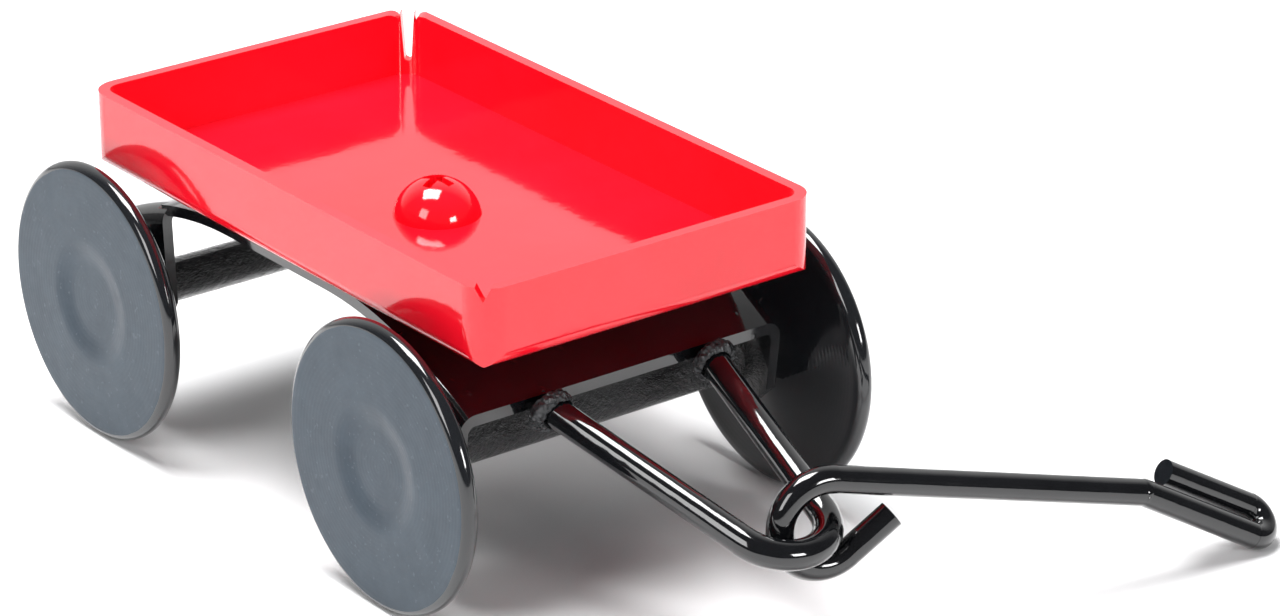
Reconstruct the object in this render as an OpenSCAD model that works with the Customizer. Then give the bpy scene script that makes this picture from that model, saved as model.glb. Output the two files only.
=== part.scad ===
/* [Tray] */
// Length of the tray
tray_length = 96; // [80:1:130]
// Width of the tray
tray_width = 57; // [45:1:75]
// Height of the tray walls
tray_height = 11.4; // [8:0.2:20]
// Thickness of the painted tray sheet
tray_sheet = 1.7; // [1.2:0.1:2.4]
// Outside radius of the upright tray corners
tray_corner = 4.2; // [3:0.1:8]
// Outside radius of the folded bottom edge
tray_bend = 2.1; // [1.8:0.1:3]
// Width of the open corner slot at the rim
slot_width = 2.2; // [1:0.1:4]

/* [Chassis] */
// Height of the tray underside above the ground
deck_height = 38.4; // [32:0.2:60]
// Thickness of the chassis sheet
chassis_sheet = 1.6; // [1.2:0.1:2.5]
// Width over the axle ears
chassis_width = 55; // [44:0.5:75]
// Length of the chassis
chassis_length = 90.2; // [80:0.2:120]
// Drop of the chassis ends below the middle
chassis_drop = 9.3; // [4:0.1:12]
// Distance the chassis centre sits behind the tray centre
chassis_back = 3.4; // [0:0.1:6]
// Width of each axle ear
ear_width = 17.6; // [12:0.1:24]
// Outside radius of the ear bend
ear_bend = 2.6; // [2.2:0.1:4]

/* [Wheels] */
// Diameter of each wheel
wheel_diameter = 41.5; // [30:0.5:50]
// Distance between the front and rear axles
wheelbase = 71.4; // [60:0.2:90]
// Width over the wheel faces
wheel_track = 70; // [64:0.5:90]
// Thickness of the wheel rim
rim_thickness = 2.6; // [2:0.1:4]
// Diameter of the shallow dish in the wheel face
dish_diameter = 18.6; // [10:0.1:26]
// Depth of the shallow dish
dish_depth = 0.8; // [0.3:0.1:1.5]

/* [Axles] */
// Diameter of the turning axle rod
axle_diameter = 4; // [3:0.1:5]
// Outside diameter of the axle tube
tube_diameter = 6.35; // [5.5:0.05:8]
// Radial running clearance of the axle in its tube
axle_clearance = 0.08; // [0.04:0.01:0.1]
// Radius of the weld bead section round the tube ends
bead_radius = 1.1; // [0.8:0.1:1.8]

/* [Fixing screw] */
// Diameter of the round screw head
head_diameter = 12.6; // [9:0.1:16]
// Height of the round screw head
head_height = 5.3; // [3:0.1:6]
// Diameter of the screw shank
shank_diameter = 6.3; // [4:0.1:8]
// Width of the nut across its flats
nut_flats = 11; // [8:0.1:14]
// Thickness of the nut
nut_height = 5.4; // [3:0.1:7]
// Thickness of the spring washer
washer_height = 1.6; // [1:0.1:2.5]

/* [Yoke] */
// Diameter of the yoke rod
yoke_diameter = 4.2; // [3:0.1:5]
// Half the distance between the yoke ends
yoke_spread = 13.9; // [10:0.1:20]
// Bend radius of the yoke tip
yoke_radius = 7.1; // [5:0.1:9]
// Distance from the chassis edge to the centre of the tip bend
yoke_reach = 29.5; // [20:0.1:40]
// Fall of the yoke for each unit of reach
yoke_fall = 0.345; // [0.1:0.005:0.4]
// Sideways offset of the tip bend
yoke_skew = 1.8; // [0:0.1:3]

/* [Pull handle] */
// Diameter of the handle rod
handle_diameter = 3.9; // [3:0.1:5]
// Bend radius of the hook
hook_radius = 6.3; // [5.6:0.1:8]
// Length of the straight hook tail
tail_length = 7.6; // [5:0.1:12]
// Upward angle of the hook tail
tail_angle = 35.4; // [20:0.1:50]
// Length of the straight shaft
shaft_length = 48.2; // [35:0.1:80]
// Length of the dropped leg of the grip
grip_leg = 20.2; // [12:0.1:30]
// Length of the returning leg of the grip
grip_return = 15.4; // [8:0.1:20]
// Distance between the two legs of the grip
grip_spacing = 4.9; // [4.7:0.1:16]
// Downward bend between shaft and grip
grip_bend = 16.2; // [0:0.1:40]
// Roll of the returning leg above level
grip_roll = 36; // [0:1:60]
// Turn of the handle away from straight ahead
handle_turn = 76; // [0:1:85]

/* [Hidden] */
$fn = 64;
cut = 1;
seat_gap = 0.05;
rod_step = 0.03;
rod_lap = 0.3;
wheel_radius = wheel_diameter / 2;
frame_x = 20.7;
frame_y = -16.9;
front_axle_y = chassis_back - wheelbase / 2;
rear_axle_y = chassis_back + wheelbase / 2;

// Tray sizes
tray_inner_length = tray_length - 2 * tray_sheet;
tray_inner_width = tray_width - 2 * tray_sheet;
tray_inner_corner = tray_corner - tray_sheet;
floor_top = deck_height + tray_sheet;
slot_share = 0.62;
slot_depth = slot_share * tray_height;
slot_foot = slot_width / 2;
slot_shoulder = 1.9;
nick_width = 2.8;
nick_depth = 2;
slot_long = 3 * tray_corner;

// Screw and fastener sizes
screw_x = -2.9;
screw_y = -2.3;
screw_clearance = 0.3;
head_sphere = (pow(head_diameter / 2, 2) + pow(head_height, 2)) / (2 * head_height);
recess_width = 1.35;
recess_top = 7;
recess_foot = 2.2;
recess_depth = 2.9;
recess_turn = 20;
washer_band = 5.4;
washer_diameter = shank_diameter + washer_band;
washer_gap = 1.2;
stack_height = tray_sheet + chassis_sheet + washer_height + nut_height;
shank_tail = 1.6;
shank_length = stack_height + shank_tail;
nut_chamfer = 0.7;

// Chassis sizes
chassis_flat = chassis_back - screw_y + washer_diameter / 2 + screw_clearance;
arc_chord = chassis_length / 2 - chassis_flat;
arc_radius = (pow(arc_chord, 2) + pow(chassis_drop, 2)) / (2 * chassis_drop);
arc_sweep = asin(arc_chord / arc_radius);
edge_width = chassis_width - 2;
ear_low = wheel_radius - 5.2;
ear_outer = chassis_length / 2;
ear_inner = ear_outer - ear_width;
ear_lean = 2.2;
ear_corner = 3;
ear_swell = 0.4;
ear_depth_spare = 8;
sweep_spare = 6;
plate_overlap = 1.5;
end_height = deck_height - chassis_drop;

// Axle and wheel sizes
tube_bore = axle_diameter + 2 * axle_clearance;
tube_stub = 1;
tube_length = chassis_width + 2 * tube_stub;
stem_cover = 2;
stem_length = wheel_track / 2 - stem_cover;
hub_radius = 3.4;
hub_gap = 0.9;
hub_depth = (wheel_track - tube_length) / 2 - hub_gap;
stem_bead = 0.7;
rim_land = 1.9;
tulip_inset = 2.3;
tulip_edge = wheel_radius - rim_land;
tulip_centre_r = tulip_edge - tulip_inset;
tulip_rise = hub_depth - rim_thickness;
tulip_outer = tulip_edge - tulip_centre_r;
tulip_inner = tulip_centre_r - hub_radius;
tulip_height = (pow(tulip_inner, 2) - pow(tulip_outer, 2) + pow(tulip_rise, 2)) / (2 * tulip_rise);
tulip_radius = sqrt(pow(tulip_outer, 2) + pow(tulip_height, 2));
dish_sphere = (pow(dish_diameter / 2, 2) + pow(dish_depth, 2)) / (2 * dish_depth);

// Yoke sizes
weld_gap = 0.75;
edge_middle = 1.2;
yoke_start_y = chassis_back - chassis_length / 2 - weld_gap;
yoke_start_z = end_height - edge_middle;
yoke_pitch = atan(yoke_fall);
yoke_slope = sqrt(1 + pow(yoke_fall, 2));
yoke_slant_reach = yoke_reach * yoke_slope;
yoke_left = [yoke_spread - yoke_skew, yoke_slant_reach];
yoke_right = [-yoke_spread - yoke_skew, yoke_slant_reach];
yoke_left_turn = atan2(yoke_left[1], yoke_left[0]) - acos(yoke_radius / norm(yoke_left));
yoke_right_turn = atan2(yoke_right[1], -yoke_right[0]) - acos(yoke_radius / norm(yoke_right));
yoke_bead = 1.5;
bead_start = 0.3;

// Handle sizes
hook_side = 5.1;
hook_ahead = 3.7;
hook_lift = 0.6;
hook_x = yoke_skew + hook_side;
hook_y = yoke_start_y - yoke_reach - hook_ahead;
hook_z = yoke_start_z - yoke_fall * (yoke_reach + hook_ahead) + hook_lift;
handle_heading = handle_turn - 90;
shaft_fall = 13;
grip_fall = shaft_fall + grip_bend;

// Puts the middle of the whole object over the origin
module centred() {
    translate([-frame_x, -frame_y, 0]) children();
}

// Rounded rectangle standing on the ground plane
module rounded_prism(long, wide, high, corner) {
    linear_extrude(height = high) {
        square([wide - 2 * corner, long], center = true);
        square([wide, long - 2 * corner], center = true);
        for (x = [-1, 1]) {
            for (y = [-1, 1]) {
                translate([x * (wide / 2 - corner), y * (long / 2 - corner)]) circle(r = corner);
            }
        }
    }
}

// Upright section with rounded bottom corners
module trough_profile(wide, high, bend) {
    translate([-wide / 2, bend]) square([wide, high - bend]);
    translate([bend - wide / 2, 0]) square([wide - 2 * bend, bend + cut / 2]);
    for (side = [-1, 1]) {
        translate([side * (wide / 2 - bend), bend]) circle(r = bend);
    }
}

// Box with upright round corners and a rounded bottom edge
module folded_box(long, wide, high, corner, bend) {
    intersection() {
        rounded_prism(long, wide, high, corner);
        rotate([90, 0, 0]) linear_extrude(height = 2 * long, center = true) {
            trough_profile(wide, high + cut, bend);
        }
        rotate([90, 0, 90]) linear_extrude(height = 2 * wide, center = true) {
            trough_profile(long, high + cut, bend);
        }
    }
}

// Tapered slot shape, wide at the rim
module slot_profile(wide, foot, deep) {
    polygon([[-foot / 2, -deep], [foot / 2, -deep], [wide / 2, cut], [-wide / 2, cut]]);
    translate([0, -deep]) circle(r = foot / 2);
}

// Round shoulders where the wall tops run down into the slot
module slot_shoulders(wide) {
    for (side = [-1, 1]) {
        translate([side * (wide / 2 + slot_shoulder), 0]) {
            difference() {
                translate([-slot_shoulder, -slot_shoulder]) square([2 * slot_shoulder, slot_shoulder + cut]);
                translate([0, -slot_shoulder]) circle(r = slot_shoulder);
                translate([side > 0 ? 0 : -slot_shoulder, -slot_shoulder]) {
                    square([slot_shoulder, slot_shoulder + 2 * cut]);
                }
            }
        }
    }
}

// Tray
module tray() {
    color("red") difference() {
        translate([0, 0, deck_height]) {
            folded_box(tray_length, tray_width, tray_height, tray_corner, tray_bend);
        }
        translate([0, 0, floor_top]) {
            rounded_prism(tray_inner_length, tray_inner_width, tray_height + cut, tray_inner_corner);
        }
        translate([screw_x, screw_y, deck_height - cut]) {
            cylinder(d = shank_diameter + screw_clearance, h = tray_sheet + 2 * cut);
        }
        translate([tray_width / 2 - tray_corner, tray_length / 2 - tray_corner, deck_height + tray_height]) {
            rotate([90, 0, 135]) linear_extrude(height = slot_long) {
                slot_profile(slot_width, slot_foot, slot_depth);
                slot_shoulders(slot_width);
            }
        }
        translate([tray_corner - tray_width / 2, tray_corner - tray_length / 2, deck_height + tray_height]) {
            rotate([90, 0, -45]) linear_extrude(height = slot_long) {
                polygon([[0, -nick_depth], [nick_width / 2, cut / 2], [-nick_width / 2, cut / 2]]);
            }
        }
    }
}

// Sloping arm of the cross recess
module recess_arm() {
    rotate([90, 0, 0]) linear_extrude(height = recess_width, center = true) {
        polygon([[-recess_foot / 2, -recess_depth], [recess_foot / 2, -recess_depth],
                 [recess_top / 2, cut], [-recess_top / 2, cut]]);
    }
}

// Round head screw with cross recess
module tray_screw() {
    color("red") translate([screw_x, screw_y, floor_top]) {
        difference() {
            intersection() {
                translate([0, 0, head_height - head_sphere]) sphere(r = head_sphere);
                cylinder(r = head_diameter, h = head_height + cut);
            }
            translate([0, 0, head_height]) rotate([0, 0, recess_turn]) recess_arm();
            translate([0, 0, head_height]) rotate([0, 0, recess_turn + 90]) recess_arm();
        }
        translate([0, 0, -shank_length]) cylinder(d = shank_diameter, h = shank_length + cut);
    }
}

// Split spring washer
module spring_washer() {
    color("dimgray") translate([screw_x, screw_y, deck_height - chassis_sheet - washer_height]) {
        difference() {
            cylinder(d = washer_diameter, h = washer_height);
            translate([0, 0, -cut]) cylinder(d = shank_diameter + screw_clearance, h = washer_height + 2 * cut);
            translate([0, -washer_gap / 2, -cut]) cube([washer_diameter, washer_gap, washer_height + 2 * cut]);
        }
    }
}

// Hexagon nut
module tray_nut() {
    across_corners = nut_flats / cos(30);
    color("dimgray") translate([screw_x, screw_y, deck_height - chassis_sheet - washer_height - nut_height]) {
        difference() {
            intersection() {
                linear_extrude(height = nut_height) {
                    polygon([for (i = [0:5]) across_corners / 2 * [cos(60 * i), sin(60 * i)]]);
                }
                union() {
                    cylinder(d1 = across_corners - 2 * nut_chamfer, d2 = across_corners, h = nut_chamfer);
                    translate([0, 0, nut_chamfer]) cylinder(d = across_corners, h = nut_height - 2 * nut_chamfer);
                    translate([0, 0, nut_height - nut_chamfer]) {
                        cylinder(d1 = across_corners, d2 = across_corners - 2 * nut_chamfer, h = nut_chamfer);
                    }
                }
            }
            translate([0, 0, -cut]) cylinder(d = shank_diameter + 2 * seat_gap, h = nut_height + 2 * cut);
        }
    }
}

// Half of the flat and curved middle sheet, towards the front
module half_sheet() {
    mid_reach = asin((ear_inner + plate_overlap - chassis_flat) / arc_radius);
    translate([-edge_width / 2, -chassis_flat, -chassis_sheet]) {
        cube([edge_width, chassis_flat + cut, chassis_sheet]);
    }
    translate([0, -chassis_flat, -arc_radius]) rotate([0, -90, 0]) {
        rotate_extrude(angle = -mid_reach, $fn = 180) {
            translate([arc_radius - chassis_sheet, -edge_width / 2]) square([chassis_sheet, edge_width]);
        }
    }
}

// Section through the sheet and both folded ears
module ear_section() {
    deep = arc_radius - end_height - ear_depth_spare;
    flat = chassis_width / 2 - ear_bend;
    inside = ear_bend - chassis_sheet;
    translate([arc_radius - chassis_sheet, -flat]) square([chassis_sheet, 2 * flat]);
    for (side = [-1, 1]) {
        intersection() {
            translate([arc_radius - ear_bend, side * flat]) difference() {
                circle(r = ear_bend);
                circle(r = inside);
            }
            translate([arc_radius - ear_bend, side > 0 ? flat : -flat - ear_bend]) square([ear_bend, ear_bend]);
        }
        translate([deep, side > 0 ? chassis_width / 2 - chassis_sheet : -chassis_width / 2]) {
            square([arc_radius - ear_bend - deep, chassis_sheet]);
        }
    }
}

// Side outline of one ear with the slanted sheet edge
module ear_outline() {
    high = deck_height;
    slant = ear_lean / (high - ear_low);
    polygon([[ear_inner, high], [ear_outer + slant * chassis_drop, high],
             [ear_outer - ear_lean + slant * ear_corner + ear_swell, ear_low + ear_corner],
             [ear_outer - ear_lean - ear_corner + ear_swell, ear_low], [ear_inner + ear_corner, ear_low],
             [ear_inner - ear_lean / 2, ear_low + 2 * ear_corner]]);
}

// One folded end of the chassis, towards the front
module folded_end() {
    sweep = arc_sweep + sweep_spare;
    intersection() {
        translate([0, -chassis_flat, -arc_radius]) rotate([0, -90, 0]) {
            rotate_extrude(angle = -sweep, $fn = 180) ear_section();
        }
        translate([chassis_width, 0, -deck_height]) rotate([90, 0, -90]) {
            linear_extrude(height = 2 * chassis_width) ear_outline();
        }
    }
}

// Chassis sheet with four ears
module chassis_plate() {
    color("black") translate([0, chassis_back, deck_height]) difference() {
        union() {
            half_sheet();
            folded_end();
            mirror([0, 1, 0]) half_sheet();
            mirror([0, 1, 0]) folded_end();
        }
        translate([screw_x, screw_y - chassis_back, -chassis_sheet - cut]) {
            cylinder(d = shank_diameter + screw_clearance, h = chassis_sheet + 2 * cut);
        }
        for (end = [-1, 1]) {
            translate([0, end * wheelbase / 2, wheel_radius - deck_height]) rotate([0, 90, 0]) {
                cylinder(d = tube_diameter + 2 * seat_gap, h = 2 * chassis_width, center = true);
            }
        }
    }
}

// Fixed tube that carries one axle
module axle_tube() {
    rotate([0, 90, 0]) difference() {
        cylinder(d = tube_diameter, h = tube_length, center = true);
        cylinder(d = tube_bore, h = tube_length + 2 * cut, center = true);
    }
}

// Weld beads outside both ears
module tube_welds() {
    for (side = [-1, 1]) {
        rotate([0, side * 90, 0]) translate([0, 0, chassis_width / 2]) {
            rotate_extrude() intersection() {
                translate([tube_diameter / 2, 0]) circle(r = bead_radius);
                translate([tube_diameter / 2 + seat_gap / 2, seat_gap / 2]) square(2 * bead_radius);
            }
        }
    }
}

// Turning rod that joins two wheels
module axle_rod() {
    rotate([0, 90, 0]) cylinder(d = axle_diameter, h = 2 * stem_length, center = true);
}

// Section of a wheel from hub to rim, outer face on the axis origin
module wheel_section() {
    rim = rim_thickness / 2;
    square([wheel_radius - rim, rim_thickness]);
    translate([wheel_radius - rim, rim]) circle(r = rim);
    difference() {
        square([tulip_edge, hub_depth]);
        translate([tulip_centre_r, rim_thickness + tulip_height]) circle(r = tulip_radius);
        translate([tulip_centre_r, rim_thickness]) square([wheel_radius, hub_depth]);
    }
    square([hub_radius, hub_depth]);
}

// Disc wheel facing towards +X
module wheel() {
    translate([wheel_track / 2, 0, 0]) rotate([0, -90, 0]) difference() {
        rotate_extrude($fn = 128) wheel_section();
        translate([0, 0, dish_depth - dish_sphere]) sphere(r = dish_sphere, $fn = 128);
        translate([0, 0, stem_cover - seat_gap]) cylinder(d = axle_diameter + 2 * seat_gap, h = hub_depth + cut);
    }
}

// Small beads that join the rod to the wheel hubs
module stem_welds() {
    for (side = [-1, 1]) {
        rotate([0, side * 90, 0]) translate([0, 0, wheel_track / 2 - hub_depth]) {
            rotate_extrude() intersection() {
                translate([axle_diameter / 2, 0]) circle(r = stem_bead);
                translate([axle_diameter / 2 + seat_gap / 2, -2 * stem_bead - seat_gap / 2]) {
                    square(2 * stem_bead);
                }
            }
        }
    }
}

// Straight rod that runs a little way into the bend at its far end
module level_rod(from, to, diameter) {
    step = to - from;
    translate([from[0], from[1], 0]) rotate([0, 0, atan2(step[1], step[0])]) {
        rotate([0, 90, 0]) cylinder(d = diameter - 2 * rod_step, h = norm(step) + rod_lap);
    }
}

// Two straight legs of the yoke, in the plane of its bend
module yoke_legs(diameter) {
    level_rod(yoke_left, yoke_radius * [cos(yoke_left_turn), sin(yoke_left_turn)], diameter);
    level_rod(yoke_right, yoke_radius * [-cos(yoke_right_turn), sin(yoke_right_turn)], diameter);
}

// Carries its children to the plane of the yoke, with the centre of the bend at the origin
module at_yoke() {
    translate([yoke_skew, yoke_start_y, yoke_start_z]) {
        rotate([yoke_pitch, 0, 0]) translate([0, -yoke_slant_reach, 0]) children();
    }
}

// Bent yoke rod
module yoke() {
    color("black") at_yoke() {
        yoke_legs(yoke_diameter);
        rotate([0, 0, 180 - yoke_right_turn]) {
            rotate_extrude(angle = 180 + yoke_left_turn + yoke_right_turn) {
                translate([yoke_radius, 0]) circle(d = yoke_diameter);
            }
        }
    }
}

// Beads where the yoke ends meet the chassis edge, each with its leg cut out of it
module yoke_welds() {
    color("dimgray") difference() {
        for (side = [-1, 1]) {
            translate([side * yoke_spread, yoke_start_y, yoke_start_z]) {
                rotate([90 + yoke_pitch, 0, 0]) translate([0, 0, bead_start]) {
                    rotate_extrude() intersection() {
                        translate([yoke_diameter / 2, yoke_bead / 2]) circle(r = yoke_bead);
                        square(yoke_diameter + 2 * yoke_bead);
                    }
                }
            }
        }
        at_yoke() yoke_legs(yoke_diameter + 2 * (rod_step + seat_gap));
    }
}

// Straight rod along -Y that runs a little way past both ends
module straight_rod(long, diameter) {
    rotate([90, 0, 0]) translate([0, 0, -rod_lap]) {
        cylinder(d = diameter - 2 * rod_step, h = long + 2 * rod_lap);
    }
}

// Part turn of rod about the local Z axis
module rod_arc(radius, sweep, diameter) {
    rotate_extrude(angle = sweep) translate([radius, 0]) circle(d = diameter);
}

// Bent pull handle with hook and grip
module pull_handle() {
    arc_start = 270 + tail_angle;
    arc_end = 90 - shaft_fall;
    color("black") translate([hook_x, hook_y, hook_z]) rotate([0, 0, handle_heading]) rotate([90, 0, 0]) {
        rotate([0, 0, arc_end]) rod_arc(hook_radius, arc_start - arc_end, handle_diameter);
        rotate([0, 0, arc_start]) translate([hook_radius, 0, 0]) {
            mirror([0, 1, 0]) straight_rod(tail_length, handle_diameter);
        }
        rotate([0, 0, arc_end]) translate([hook_radius, 0, 0]) {
            straight_rod(shaft_length, handle_diameter);
            translate([0, -shaft_length, 0]) {
                sphere(d = handle_diameter);
                rotate([0, 0, -grip_bend]) {
                    straight_rod(grip_leg, handle_diameter);
                    translate([0, -grip_leg, 0]) rotate([0, -grip_roll, 0]) {
                        translate([0, 0, -grip_spacing / 2]) rotate([0, 90, 0]) {
                            rotate([0, 0, 180]) rod_arc(grip_spacing / 2, 180, handle_diameter);
                        }
                        translate([0, 0, -grip_spacing]) {
                            mirror([0, 1, 0]) straight_rod(grip_return, handle_diameter);
                        }
                    }
                }
            }
        }
    }
}

centred() tray();
centred() tray_screw();
centred() spring_washer();
centred() tray_nut();
centred() chassis_plate();
union() {  // front_axle_tube
    color("black") centred() translate([0, front_axle_y, wheel_radius]) axle_tube();
}
union() {  // rear_axle_tube
    color("black") centred() translate([0, rear_axle_y, wheel_radius]) axle_tube();
}
union() {  // front_tube_welds
    color("dimgray") centred() translate([0, front_axle_y, wheel_radius]) tube_welds();
}
union() {  // rear_tube_welds
    color("dimgray") centred() translate([0, rear_axle_y, wheel_radius]) tube_welds();
}
union() {  // front_axle_rod
    color("silver") centred() translate([0, front_axle_y, wheel_radius]) axle_rod();
}
union() {  // rear_axle_rod
    color("silver") centred() translate([0, rear_axle_y, wheel_radius]) axle_rod();
}
union() {  // front_left_wheel
    color("gray") centred() translate([0, front_axle_y, wheel_radius]) wheel();
}
union() {  // front_right_wheel
    color("gray") centred() translate([0, front_axle_y, wheel_radius]) mirror([1, 0, 0]) wheel();
}
union() {  // rear_left_wheel
    color("gray") centred() translate([0, rear_axle_y, wheel_radius]) wheel();
}
union() {  // rear_right_wheel
    color("gray") centred() translate([0, rear_axle_y, wheel_radius]) mirror([1, 0, 0]) wheel();
}
union() {  // front_stem_welds
    color("dimgray") centred() translate([0, front_axle_y, wheel_radius]) stem_welds();
}
union() {  // rear_stem_welds
    color("dimgray") centred() translate([0, rear_axle_y, wheel_radius]) stem_welds();
}
centred() yoke();
centred() yoke_welds();
centred() pull_handle();
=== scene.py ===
import math

import bmesh
import bpy
from mathutils import Matrix, Vector


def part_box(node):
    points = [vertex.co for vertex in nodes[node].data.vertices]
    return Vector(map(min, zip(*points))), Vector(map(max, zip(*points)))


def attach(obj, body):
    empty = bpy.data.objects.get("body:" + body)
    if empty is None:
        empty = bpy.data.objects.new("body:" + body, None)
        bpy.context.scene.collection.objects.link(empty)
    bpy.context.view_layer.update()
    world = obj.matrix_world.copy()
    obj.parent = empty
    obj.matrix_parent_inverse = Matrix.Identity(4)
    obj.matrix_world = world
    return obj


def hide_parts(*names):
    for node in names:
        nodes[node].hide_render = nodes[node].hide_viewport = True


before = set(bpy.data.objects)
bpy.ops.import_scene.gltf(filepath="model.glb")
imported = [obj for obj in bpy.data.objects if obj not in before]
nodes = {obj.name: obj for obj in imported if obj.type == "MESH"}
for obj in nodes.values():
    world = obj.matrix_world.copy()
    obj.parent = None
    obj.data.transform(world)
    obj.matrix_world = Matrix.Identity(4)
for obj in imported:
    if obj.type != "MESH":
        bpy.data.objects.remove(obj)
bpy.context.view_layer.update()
scene = bpy.context.scene
mm = 0.001
print("frame loaded")


cameraSetup = {
    "place": (-0.39937, -0.51711, 0.30445),  # metres
    "azimuth": -37.75,  # degrees, 0 looks along +Y
    "elevation": 23.2,
    "roll": 0.055,
    "lens": 141.1,
    "sensor": 36,
    "nearest": 0.01,
}


def makeCamera(setup):
    turn, lift, roll = (math.radians(setup[key]) for key in ("azimuth", "elevation", "roll"))
    back = Vector((math.sin(turn) * math.cos(lift), -math.cos(turn) * math.cos(lift), math.sin(lift)))
    level = (-back).cross(Vector((0, 0, 1))).normalized()
    rise = level.cross(-back)
    right = level * math.cos(roll) + rise * math.sin(roll)
    up = rise * math.cos(roll) - level * math.sin(roll)
    axes = Matrix((right, up, back)).transposed().to_4x4()
    data = bpy.data.cameras.new("camera")
    data.lens = setup["lens"]
    data.sensor_width = setup["sensor"]
    data.clip_start = setup["nearest"]
    camera = bpy.data.objects.new("camera", data)
    camera.matrix_world = Matrix.Translation(Vector(setup["place"])) @ axes
    scene.collection.objects.link(camera)
    scene.camera = camera


makeCamera(cameraSetup)
print("camera placed")


# one material's node tree, with the few nodes that the finishes below share
# in the dictionaries below, a noise is (scale, detail, roughness), a relief is (strength, depth in metres)
# and a blend is the two places on a ramp from 0 to 1


class Finish:
    def __init__(self, name):
        self.material = bpy.data.materials.new(name)
        self.material.use_nodes = True
        self.tree = self.material.node_tree
        self.shader = self.tree.nodes["Principled BSDF"]
        self.at = self.add("ShaderNodeTexCoord").outputs["Object"]

    def add(self, kind, **settings):
        node = self.tree.nodes.new(kind)
        for key, value in settings.items():
            setattr(node, key, value)
        return node

    def feed(self, socket, value):
        if isinstance(value, (int, float)):
            socket.default_value = value
        elif isinstance(value, tuple):
            socket.default_value = (*value, 1) if len(socket.default_value) == 4 else value
        else:
            self.tree.links.new(value, socket)

    def noise(self, pattern):
        scale, detail, rough = pattern
        node = self.add("ShaderNodeTexNoise")
        node.inputs["Scale"].default_value = scale
        node.inputs["Detail"].default_value = detail
        node.inputs["Roughness"].default_value = rough
        self.feed(node.inputs["Vector"], self.at)
        return node.outputs["Fac"]

    def cells(self, scale):
        node = self.add("ShaderNodeTexVoronoi")
        node.inputs["Scale"].default_value = scale
        self.feed(node.inputs["Vector"], self.at)
        return node

    def ramp(self, source, blend, colours=(0.0, 1.0)):
        node = self.add("ShaderNodeValToRGB")
        for element, place, colour in zip(node.color_ramp.elements, blend, colours):
            element.position = place
            element.color = (*colour, 1) if isinstance(colour, tuple) else (colour, colour, colour, 1)
        self.feed(node.inputs["Fac"], source)
        return node.outputs["Color"]

    def math(self, operation, *values):
        node = self.add("ShaderNodeMath", operation=operation)
        for socket, value in zip(node.inputs, values):
            self.feed(socket, value)
        return node.outputs[0]

    def mix(self, factor, first, second):
        node = self.add("ShaderNodeMix", data_type="RGBA")
        self.feed(node.inputs[0], factor)
        self.feed(node.inputs[6], first)  # sockets 6 and 7 are the two colours
        self.feed(node.inputs[7], second)
        return node.outputs[2]

    def bump(self, height, relief, under=None):
        strength, distance = relief
        node = self.add("ShaderNodeBump")
        node.inputs["Strength"].default_value = strength
        node.inputs["Distance"].default_value = distance
        self.feed(node.inputs["Height"], height)
        if under is not None:
            self.feed(node.inputs["Normal"], under)
        return node.outputs["Normal"]

    def give(self, values):
        for name, value in values.items():
            self.feed(self.shader.inputs[name], value)


# tray and screw paint: deep red gloss, faintly wavy, with fine orange peel

redPaint = {
    "deep": (0.84, 0.004, 0.014),
    "bright": (0.96, 0.008, 0.026),
    "cloud": (26, 4, 0.55),
    "cloudBlend": (0.3, 0.7),
    "roughness": 0.07,
    "dust": (900, 2, 0.6),
    "dustRoughness": 0.05,
    "coat": 0.45,
    "coatRoughness": 0.03,
    "wave": (38, 2, 0.4),
    "waveRelief": (0.5, 0.00035),
    "peel": (340, 2, 0.5),
    "peelRelief": (0.35, 0.00006),
}


def makeRedPaint(look):
    paint = Finish("red_paint")
    cloud = paint.noise(look["cloud"])
    dust = paint.noise(look["dust"])
    wave = paint.bump(paint.noise(look["wave"]), look["waveRelief"])
    peel = paint.bump(paint.noise(look["peel"]), look["peelRelief"], wave)
    paint.give({
        "Base Color": paint.ramp(cloud, look["cloudBlend"], (look["deep"], look["bright"])),
        "Roughness": paint.math("MULTIPLY_ADD", dust, look["dustRoughness"], look["roughness"]),
        "Normal": peel,
        "Coat Weight": look["coat"],
        "Coat Roughness": look["coatRoughness"],
        "Coat Normal": peel,
    })
    return paint.material


# chassis and rod paint: wet black that follows the dents, with weld crust and spatter by the axles

blackPaint = {
    "colour": (0.0035, 0.0038, 0.0046),
    "dusty": (0.009, 0.0095, 0.011),
    "cloud": (60, 5, 0.6),
    "cloudBlend": (0.35, 0.8),
    "roughness": 0.03,
    "dust": (700, 3, 0.6),
    "dustRoughness": 0.12,
    "coat": 0.7,
    "coatRoughness": 0.04,
    "peel": (420, 2, 0.5),
    "peelRelief": (0.3, 0.00005),
}
chassisDents = {"noise": (42, 2, 0.45), "relief": (0.55, 0.0005)}
rodDents = {"noise": (130, 2, 0.45), "relief": (0.3, 0.0005)}
axleCrust = {
    "crust": (950, 4, 0.75),
    "crustRelief": (1.0, 0.0009),
    "crustFull": 0.0050,  # metres from the axle line
    "crustEnd": 0.0085,
    "spatterScale": 420,
    "spatterBlend": (0.0, 0.22),  # middle and edge of a drop, in its cell
    "bareBlend": (0.72, 0.76),  # cells below this stay bare
    "spatterEnd": 0.016,
    "spatterRelief": (1.0, 0.0004),
}


def axleLine(tube):
    low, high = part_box(tube)
    return (low[1] + high[1]) / 2, (low[2] + high[2]) / 2


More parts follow.
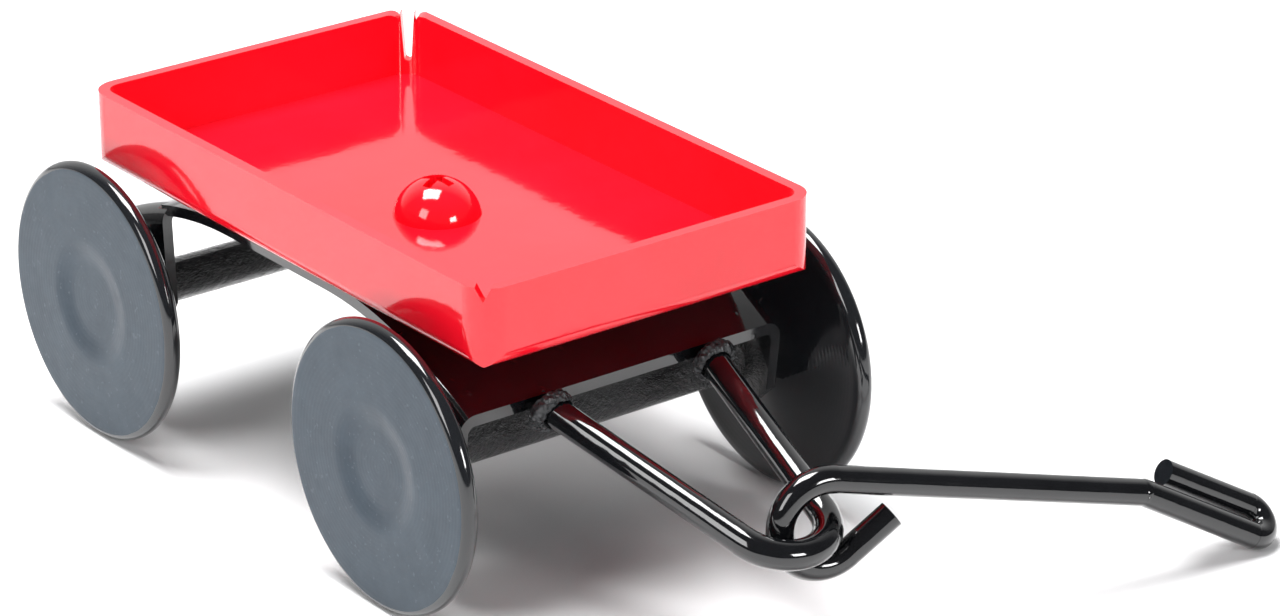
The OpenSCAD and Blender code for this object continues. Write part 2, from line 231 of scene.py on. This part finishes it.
def nearAxles(paint, axles, full, end):
    masks = []
    for y, z in axles:
        shift = paint.add("ShaderNodeVectorMath", operation="MULTIPLY_ADD")
        shift.inputs[1].default_value = (0, 1, 1)  # drops X, so that only the distance from the line counts
        shift.inputs[2].default_value = (0, -y, -z)
        paint.feed(shift.inputs[0], paint.at)
        length = paint.add("ShaderNodeVectorMath", operation="LENGTH")
        paint.feed(length.inputs[0], shift.outputs[0])
        spread = paint.add("ShaderNodeMapRange", interpolation_type="SMOOTHSTEP")
        spread.inputs["From Min"].default_value = end
        spread.inputs["From Max"].default_value = full
        paint.feed(spread.inputs["Value"], length.outputs["Value"])
        masks.append(spread.outputs["Result"])
    return paint.math("MAXIMUM", *masks)


def addWeldRelief(paint, look, axles, under):
    zone = nearAxles(paint, axles, look["crustFull"], look["crustEnd"])
    crust = paint.math("MULTIPLY", paint.noise(look["crust"]), zone)
    rough = paint.bump(crust, look["crustRelief"], under)
    cells = paint.cells(look["spatterScale"])
    drops = paint.ramp(cells.outputs["Distance"], look["spatterBlend"], (1.0, 0.0))
    kept = paint.ramp(cells.outputs["Color"], look["bareBlend"])
    reach = nearAxles(paint, axles, look["crustEnd"], look["spatterEnd"])
    spatter = paint.math("MULTIPLY", paint.math("MULTIPLY", drops, kept), reach)
    return paint.bump(spatter, look["spatterRelief"], rough)


def makeBlackPaint(name, look, dents, axles=()):
    paint = Finish(name)
    cloud = paint.noise(look["cloud"])
    dust = paint.noise(look["dust"])
    dent = paint.bump(paint.noise(dents["noise"]), dents["relief"])
    surface = paint.bump(paint.noise(look["peel"]), look["peelRelief"], dent)
    if axles:
        surface = addWeldRelief(paint, axleCrust, axles, surface)
    paint.give({
        "Base Color": paint.ramp(cloud, look["cloudBlend"], (look["colour"], look["dusty"])),
        "Roughness": paint.math("MULTIPLY_ADD", dust, look["dustRoughness"], look["roughness"]),
        "Normal": surface,
        "Coat Weight": look["coat"],
        "Coat Roughness": look["coatRoughness"],
        "Coat Normal": surface,
    })
    return paint.material


# weld beads: painted over, lumpy and glittering

weldLook = {
    "dark": (0.022, 0.023, 0.025),
    "light": (0.07, 0.072, 0.075),
    "cloud": (500, 3, 0.6),
    "cloudBlend": (0.3, 0.75),
    "metallic": 0.35,
    "roughness": 0.22,
    "grainScale": 1500,
    "grainRelief": (0.9, 0.00035),
    "fine": (2600, 3, 0.6),
    "fineRelief": (0.6, 0.000175),
}


def makeWeld(look):
    weld = Finish("weld")
    cloud = weld.noise(look["cloud"])
    grain = weld.bump(weld.cells(look["grainScale"]).outputs["Distance"], look["grainRelief"])
    weld.give({
        "Base Color": weld.ramp(cloud, look["cloudBlend"], (look["dark"], look["light"])),
        "Metallic": look["metallic"],
        "Roughness": look["roughness"],
        "Normal": weld.bump(weld.noise(look["fine"]), look["fineRelief"], grain),
    })
    return weld.material


# axle rods and fasteners: brushed, and blackened

axleLook = {"dark": (0.21, 0.21, 0.217), "light": (0.30, 0.30, 0.31), "roughness": 0.2, "metallic": 0.9}
fastenerLook = {
    "dark": (0.0245, 0.0245, 0.0266),
    "light": (0.035, 0.035, 0.038),
    "roughness": 0.26,
    "metallic": 0.8,
}
steelGrain = {
    "cloud": (300, 4, 0.6),
    "cloudBlend": (0.3, 0.7),
    "uneven": (900, 3, 0.6),
    "unevenRoughness": 0.2,
    "grain": (1500, 3, 0.6),
    "grainRelief": (0.3, 0.00004),
}


def makeSteel(name, look, grain):
    steel = Finish(name)
    cloud = steel.noise(grain["cloud"])
    uneven = steel.noise(grain["uneven"])
    steel.give({
        "Base Color": steel.ramp(cloud, grain["cloudBlend"], (look["dark"], look["light"])),
        "Roughness": steel.math("MULTIPLY_ADD", uneven, grain["unevenRoughness"], look["roughness"]),
        "Metallic": look["metallic"],
        "Normal": steel.bump(steel.noise(grain["grain"]), grain["grainRelief"]),
    })
    return steel.material


# wheels: satin grey face with turning marks, gloss black rim and back

wheelLook = {
    "face": (0.026, 0.042, 0.060),
    "faceLight": (0.043, 0.065, 0.088),
    "mottle": (210, 6, 0.7),
    "mottleBlend": (0.25, 0.75),
    "speckColour": (0.11, 0.14, 0.17),
    "specks": (1300, 2, 0.5),
    "speckBlend": (0.66, 0.72),
    "speckShare": 0.35,
    "satin": (480, 4, 0.6),
    "satinRoughness": 0.16,
    "faceRoughness": 0.34,
    "faceMetallic": 0.30,
    "faceCoat": 0.08,
    "faceEdge": 0.96,  # share of the radius where the grey ends
    "faceSkin": 0.0010,  # metres behind the outer face where it ends too
    "ragged": (150, 3, 0.5),
    "raggedReach": 0.0004,
    "rim": (0.010, 0.011, 0.013),
    "rimRoughness": 0.09,
    "rimCoat": 0.7,
    "coatRoughness": 0.05,
    "ringsPerMetre": 9000.0,
    "ringShare": 0.2,
    "grainRelief": (0.25, 0.00005),
    "dent": (45, 2, 0.4),
    "dentRelief": (0.35, 0.0004),
}


def makeWheelSteel(name, look, centre, radius, side):
    wheel = Finish(name)
    shift = wheel.add("ShaderNodeVectorMath", operation="SUBTRACT")
    shift.inputs[1].default_value = centre
    wheel.feed(shift.inputs[0], wheel.at)
    part = wheel.add("ShaderNodeSeparateXYZ")
    wheel.feed(part.inputs[0], shift.outputs[0])
    x, y, z = part.outputs
    squares = wheel.math("ADD", wheel.math("MULTIPLY", y, y), wheel.math("MULTIPLY", z, z))
    distance = wheel.math("SQRT", squares)
    ragged = wheel.math("MULTIPLY_ADD", wheel.noise(look["ragged"]), look["raggedReach"], distance)
    inside = wheel.math("LESS_THAN", ragged, radius * look["faceEdge"])
    outer = wheel.math("GREATER_THAN", wheel.math("MULTIPLY", x, side), -look["faceSkin"])
    face = wheel.math("MULTIPLY", inside, outer)

    mottle = wheel.noise(look["mottle"])
    tone = wheel.ramp(mottle, look["mottleBlend"], (look["face"], look["faceLight"]))
    specks = wheel.ramp(wheel.noise(look["specks"]), look["speckBlend"])
    tone = wheel.mix(wheel.math("MULTIPLY", specks, look["speckShare"]), tone, look["speckColour"])
    uneven = wheel.noise(look["satin"])
    satin = wheel.math("MULTIPLY_ADD", uneven, look["satinRoughness"], look["faceRoughness"])
    overRim = wheel.math("SUBTRACT", satin, look["rimRoughness"])
    lessCoat = wheel.math("MULTIPLY", face, look["rimCoat"] - look["faceCoat"])
    rings = wheel.math("SINE", wheel.math("MULTIPLY", distance, look["ringsPerMetre"]))
    marks = wheel.math("MULTIPLY_ADD", rings, look["ringShare"], mottle)
    grain = wheel.bump(marks, look["grainRelief"])
    wheel.give({
        "Base Color": wheel.mix(face, look["rim"], tone),
        "Roughness": wheel.math("MULTIPLY_ADD", face, overRim, look["rimRoughness"]),
        "Metallic": wheel.math("MULTIPLY", face, look["faceMetallic"]),
        "Coat Weight": wheel.math("SUBTRACT", look["rimCoat"], lessCoat),
        "Coat Roughness": look["coatRoughness"],
        "Normal": wheel.bump(wheel.noise(look["dent"]), look["dentRelief"], grain),
    })
    return wheel.material


axles = [axleLine("front_axle_tube"), axleLine("rear_axle_tube")]
trayRed = makeRedPaint(redPaint)
chassisBlack = makeBlackPaint("chassis_black", blackPaint, chassisDents, axles)
rodBlack = makeBlackPaint("rod_black", blackPaint, rodDents)
weldMetal = makeWeld(weldLook)
axleSteel = makeSteel("axle_steel", axleLook, steelGrain)
fastenerSteel = makeSteel("fastener_steel", fastenerLook, steelGrain)
print("materials made")


# frame pieces that keep their CAD shape: a material and, on most, softened edges

edgeSetup = {"segments": 3, "sharpest": 30}  # degrees between faces that get an edge
framePieces = {  # piece: material, width of its softened edge in metres
    "tray": (trayRed, 0.00045),
    "tray_screw": (trayRed, 0.00016),
    "chassis_plate": (chassisBlack, 0.00028),
    "front_axle_tube": (chassisBlack, 0.00015),
    "rear_axle_tube": (chassisBlack, 0.00015),
    "front_axle_rod": (axleSteel, 0.0002),
    "rear_axle_rod": (axleSteel, 0.0002),
    "spring_washer": (fastenerSteel, 0.0002),
    "tray_nut": (fastenerSteel, 0.0002),
    "yoke": (rodBlack, 0),
    "pull_handle": (rodBlack, 0.00025),
}


def paintPiece(name, material):
    piece = nodes[name]
    piece.data.materials.clear()
    piece.data.materials.append(material)
    for face in piece.data.polygons:
        face.use_smooth = True
    return piece


def softenEdges(piece, width, setup):
    edge = piece.modifiers.new("edge", "BEVEL")
    edge.width = width
    edge.segments = setup["segments"]
    edge.limit_method = "ANGLE"
    edge.angle_limit = math.radians(setup["sharpest"])
    edge.harden_normals = True


for name, (material, width) in framePieces.items():
    piece = paintPiece(name, material)
    if width:
        softenEdges(piece, width, edgeSetup)
print("frame pieces finished")


# wheels: one lathed disc each, with a soft dish, a round rim and a hollow back

wheelShape = {  # millimetres, apart from the counts
    "turns": 160,
    "faceSteps": 48,
    "rimSteps": 16,
    "backSteps": 32,
    "dishRadius": 9.7,
    "dishFoot": 5.2,
    "dishDepth": 0.78,
    "rim": 2.6,
    "rimLand": 1.9,
    "landLap": 0.25,
    "inset": 2.3,
    "hub": 3.4,
    "backGroove": 0.3,
}


def smoothStep(low, high, value):
    share = max(0.0, min(1.0, (value - low) / (high - low)))
    return share * share * (3 - 2 * share)


def faceOutline(shape, land):
    points = []
    for i in range(shape["faceSteps"] + 1):
        r = land * i / shape["faceSteps"]
        points.append((r, shape["dishDepth"] * (1 - smoothStep(shape["dishFoot"], shape["dishRadius"], r))))
    return points


def rimOutline(shape, land):
    half = shape["rim"] / 2
    turns = [math.pi * i / shape["rimSteps"] for i in range(1, shape["rimSteps"])]
    return [(land + half * math.sin(a), half * (1 - math.cos(a))) for a in turns]


def backOutline(shape, radius, deep):
    edge = radius - shape["rimLand"]
    middle = edge - shape["inset"]
    rise = deep - shape["rim"]
    high = ((middle - shape["hub"]) ** 2 - shape["inset"] ** 2 + rise**2) / (2 * rise)
    bow = math.hypot(shape["inset"], high)
    points = [(edge + shape["landLap"], shape["rim"])]
    for i in range(shape["backSteps"] + 1):
        r = edge - (edge - shape["hub"]) * i / shape["backSteps"]
        back = shape["rim"] + high - math.sqrt(max(bow**2 - (r - middle) ** 2, 0))
        points.append((r, max(shape["rim"] - shape["backGroove"], min(deep, back))))
    return points + [(shape["hub"], deep), (0, deep)]


def latheDisc(name, outline, turns, centre, side):
    verts, faces, rings = [], [], []
    for r, back in outline:
        count = 1 if r == 0 else turns
        rings.append((len(verts), count))
        for k in range(count):
            a = math.tau * k / turns
            verts.append(centre + Vector((-side * back, r * math.cos(a), r * math.sin(a))) * mm)
    for (first, firstCount), (second, secondCount) in zip(rings, rings[1:]):
        for k in range(turns):
            near = (first + k % firstCount, first + (k + 1) % firstCount)
            far = (second + (k + 1) % secondCount, second + k % secondCount)
            faces.append(tuple(dict.fromkeys(near + far)))  # a quad, or a triangle at the middle
    mesh = bpy.data.meshes.new(name)
    mesh.from_pydata(verts, [], faces)
    shell = bmesh.new()
    shell.from_mesh(mesh)
    bmesh.ops.recalc_face_normals(shell, faces=shell.faces)
    shell.to_mesh(mesh)
    shell.free()
    for face in mesh.polygons:
        face.use_smooth = True
    disc = bpy.data.objects.new(name, mesh)
    scene.collection.objects.link(disc)
    return disc


def makeWheel(node, body, side, shape, look):
    low, high = (Vector(corner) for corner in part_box(node))
    centre = (low + high) / 2
    centre.x = high.x if side > 0 else low.x
    radius = (high.z - low.z) / 2 / mm
    land = radius - shape["rim"] / 2
    outline = faceOutline(shape, land) + rimOutline(shape, land)
    outline += backOutline(shape, radius, (high.x - low.x) / mm)
    disc = latheDisc(node + "_disc", outline, shape["turns"], centre, side)
    disc.data.materials.append(makeWheelSteel(node + "_steel", look, centre, radius * mm, side))
    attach(disc, body)
    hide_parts(node)


for end in ("front", "rear"):
    for hand, side in (("left", 1), ("right", -1)):
        makeWheel(f"{end}_{hand}_wheel", f"{end}_wheelset", side, wheelShape, wheelLook)
print("wheels made")


# weld beads: each CAD bead remeshed finely, then pushed about by cloud noise

beadShape = {
    "grid": 0.00022,
    "lump": 0.0007,
    "lumpSize": 0.0011,
    "lumpDetail": 2,
    "lumpMiddle": 0.85,  # above one half, so that most of the bead is pushed in
}
beadNodes = ("front_tube_welds", "rear_tube_welds", "yoke_welds", "front_stem_welds", "rear_stem_welds")


def makeLumps(shape):
    lumps = bpy.data.textures.new("lumps", "CLOUDS")
    lumps.noise_scale = shape["lumpSize"]
    lumps.noise_depth = shape["lumpDetail"]
    return lumps


def roughenBead(bead, shape, lumps):
    fine = bead.modifiers.new("fine", "REMESH")
    fine.mode = "VOXEL"
    fine.voxel_size = shape["grid"]
    fine.use_smooth_shade = True
    push = bead.modifiers.new("lumps", "DISPLACE")
    push.texture = lumps
    push.mid_level = shape["lumpMiddle"]
    push.strength = shape["lump"]


lumps = makeLumps(beadShape)
for name in beadNodes:
    roughenBead(paintPiece(name, weldMetal), beadShape, lumps)
print("weld beads made")


# stage: pale floor, soft lights and a studio that is bright behind the wagon

floorLook = {"colour": (0.93, 0.93, 0.935), "roughness": 0.85, "half": 3.0}
studioLook = {
    "dark": (0.11, 0.11, 0.1155),
    "darkEnd": 0.30,
    "brightStart": 0.72,
    "brightWay": (0.55, 0.80, 0.18),
    "strength": 0.80,
    "backdrop": (0.8, 0.8, 0.8),  # what the camera sees past the floor
}
lightAim = (0, 0, 0.02)
lights = {  # name: place, size and power
    "overhead": ((-0.10, 0.12, 0.70), (0.34, 0.42), 7.8),
    "left_window": ((-0.75, -0.15, 0.45), (0.30, 0.45), 2.6),
    "front_window": ((0.10, -0.85, 0.30), (0.26, 0.20), 3.0),
}


def makeFloor(look):
    half = look["half"]
    corners = [(-half, -half, 0), (half, -half, 0), (half, half, 0), (-half, half, 0)]
    mesh = bpy.data.meshes.new("floor")
    mesh.from_pydata(corners, [], [(0, 1, 2, 3)])
    floor = bpy.data.objects.new("floor", mesh)
    scene.collection.objects.link(floor)
    paper = Finish("floor")
    paper.give({"Base Color": look["colour"], "Roughness": look["roughness"]})
    mesh.materials.append(paper.material)


def makeLight(name, place, size, power):
    data = bpy.data.lights.new(name, "AREA")
    data.shape = "RECTANGLE"
    data.size, data.size_y = size
    data.energy = power
    light = bpy.data.objects.new(name, data)
    light.location = place
    light.rotation_euler = (Vector(lightAim) - Vector(place)).to_track_quat("-Z", "Y").to_euler()
    scene.collection.objects.link(light)


def makeStudio(look):
    world = bpy.data.worlds.new("studio")
    scene.world = world
    world.use_nodes = True
    add = world.node_tree.nodes.new
    link = world.node_tree.links.new
    world.node_tree.nodes.clear()
    facing = add("ShaderNodeVectorMath")
    facing.operation = "DOT_PRODUCT"
    facing.inputs[1].default_value = look["brightWay"]
    link(add("ShaderNodeTexCoord").outputs["Generated"], facing.inputs[0])
    ramp = add("ShaderNodeValToRGB")
    darkEnd, brightStart = ramp.color_ramp.elements
    darkEnd.position = look["darkEnd"]
    darkEnd.color = (*look["dark"], 1)
    brightStart.position = look["brightStart"]
    brightStart.color = (1, 1, 1, 1)
    link(facing.outputs["Value"], ramp.inputs["Fac"])
    room = add("ShaderNodeBackground")
    room.inputs["Strength"].default_value = look["strength"]
    link(ramp.outputs["Color"], room.inputs["Color"])
    backdrop = add("ShaderNodeBackground")
    backdrop.inputs["Color"].default_value = (*look["backdrop"], 1)
    mix = add("ShaderNodeMixShader")
    link(add("ShaderNodeLightPath").outputs["Is Camera Ray"], mix.inputs["Fac"])
    link(room.outputs[0], mix.inputs[1])
    link(backdrop.outputs[0], mix.inputs[2])
    link(mix.outputs[0], add("ShaderNodeOutputWorld").inputs["Surface"])


makeFloor(floorLook)
makeStudio(studioLook)
for name, setup in lights.items():
    makeLight(name, *setup)
scene.view_settings.view_transform = "Standard"
print("stage lit")
